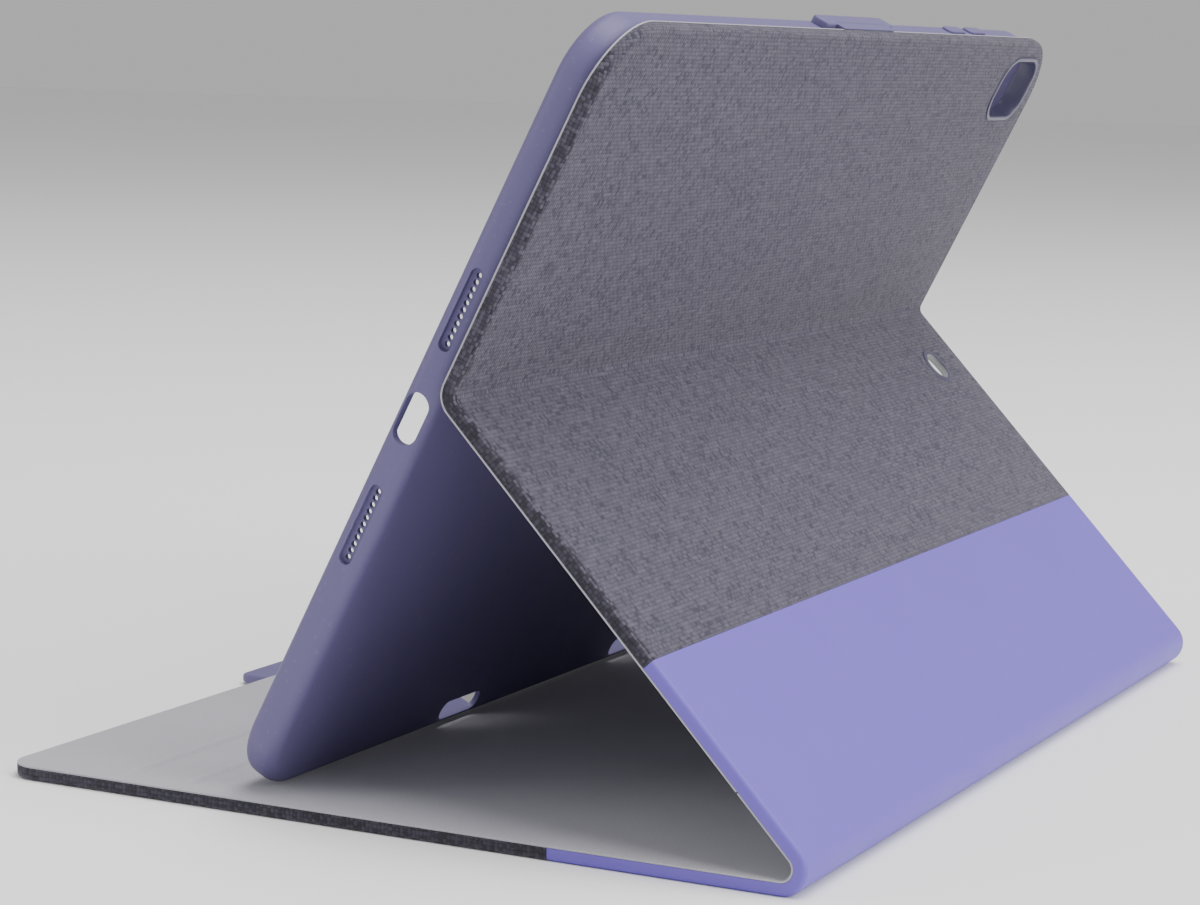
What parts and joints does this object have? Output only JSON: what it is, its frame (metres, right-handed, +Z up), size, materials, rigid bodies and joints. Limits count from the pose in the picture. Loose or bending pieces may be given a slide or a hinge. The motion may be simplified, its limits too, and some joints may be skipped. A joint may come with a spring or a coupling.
{
  "type": "tablet case",
  "caption": "Folding stand case for a tablet: rubber tray on a bending fabric back, smooth spine band, lined front cover and magnetic closing flap.",
  "frame": {"origin": "centre of the bounding box's bottom face, on the surface that the front cover lies on", "axes": "+Z up, X along the width with the charging port at +X, -Y towards the user and the screen side"},
  "size_m": [0.262, 0.196, 0.1669],
  "materials": {
    "board": "pressed fibreboard",
    "heather_fabric": "heathered plain weave",
    "smooth_skin": "smooth synthetic leather",
    "lining": "brushed microfibre",
    "tray_rubber": "soft-touch moulded",
    "magnet": "nickel plated",
    "keeper_steel": "plain sheet"
  },
  "bodies": {
    "front_cover": {"front_board": "board", "front_fabric": "heather_fabric", "front_band": "smooth_skin", "front_lining": "lining", "stand_ridges": "lining", "stand_magnets": "magnet", "wake_magnets": "magnet", "spine_crease_skin": "smooth_skin", "spine_crease_lining": "lining"},
    "closing_flap": {"latch_flap": "tray_rubber", "latch_magnets": "magnet"},
    "lower_panel": {"lower_board": "board", "spine_board": "board", "lower_fabric": "heather_fabric", "lower_band": "smooth_skin", "lower_lining": "lining", "sound_grommet": "tray_rubber"},
    "tray": {"upper_board": "board", "upper_fabric": "heather_fabric", "upper_lining": "lining", "tray_shell": "tray_rubber", "camera_bezel": "tray_rubber", "latch_dock": "tray_rubber", "latch_keeper": "keeper_steel", "tray_magnets": "magnet"},
    "power_key": {"power_button": "tray_rubber"},
    "volume_up_key": {"volume_up": "tray_rubber"},
    "volume_down_key": {"volume_down": "tray_rubber"}
  },
  "joints": [
    {"name": "spine_crease", "type": "hinge", "parent": "front_cover", "child": "lower_panel", "pos_m": [0, 0.098, 0.0032], "axis": [-1, 0, 0], "range_deg": [0, 133.5]},
    {"name": "back_fold", "type": "hinge", "parent": "lower_panel", "child": "tray", "pos_m": [0, 0.01629, 0.0893], "axis": [1, 0, 0], "range_deg": [0, 69.9]},
    {"name": "flap_hinge", "type": "hinge", "parent": "front_cover", "child": "closing_flap", "pos_m": [0, -0.089, 0.00275], "axis": [-1, 0, 0], "range_deg": [0, 95]},
    {"name": "power_press", "type": "slide", "parent": "tray", "child": "power_key", "axis": [1, 0, 0], "range_m": [0, 0.0005], "stiffness_N_per_m": 300},
    {"name": "volume_up_press", "type": "slide", "parent": "tray", "child": "volume_up_key", "axis": [0, -0.4446, -0.8957], "range_m": [0, 0.0005], "stiffness_N_per_m": 300},
    {"name": "volume_down_press", "type": "slide", "parent": "tray", "child": "volume_down_key", "axis": [0, -0.4446, -0.8957], "range_m": [0, 0.0005], "stiffness_N_per_m": 300}
  ],
  "couplings": [
    {"joint": "back_fold", "follows": "spine_crease", "ratio": 0.5236}
  ]
}
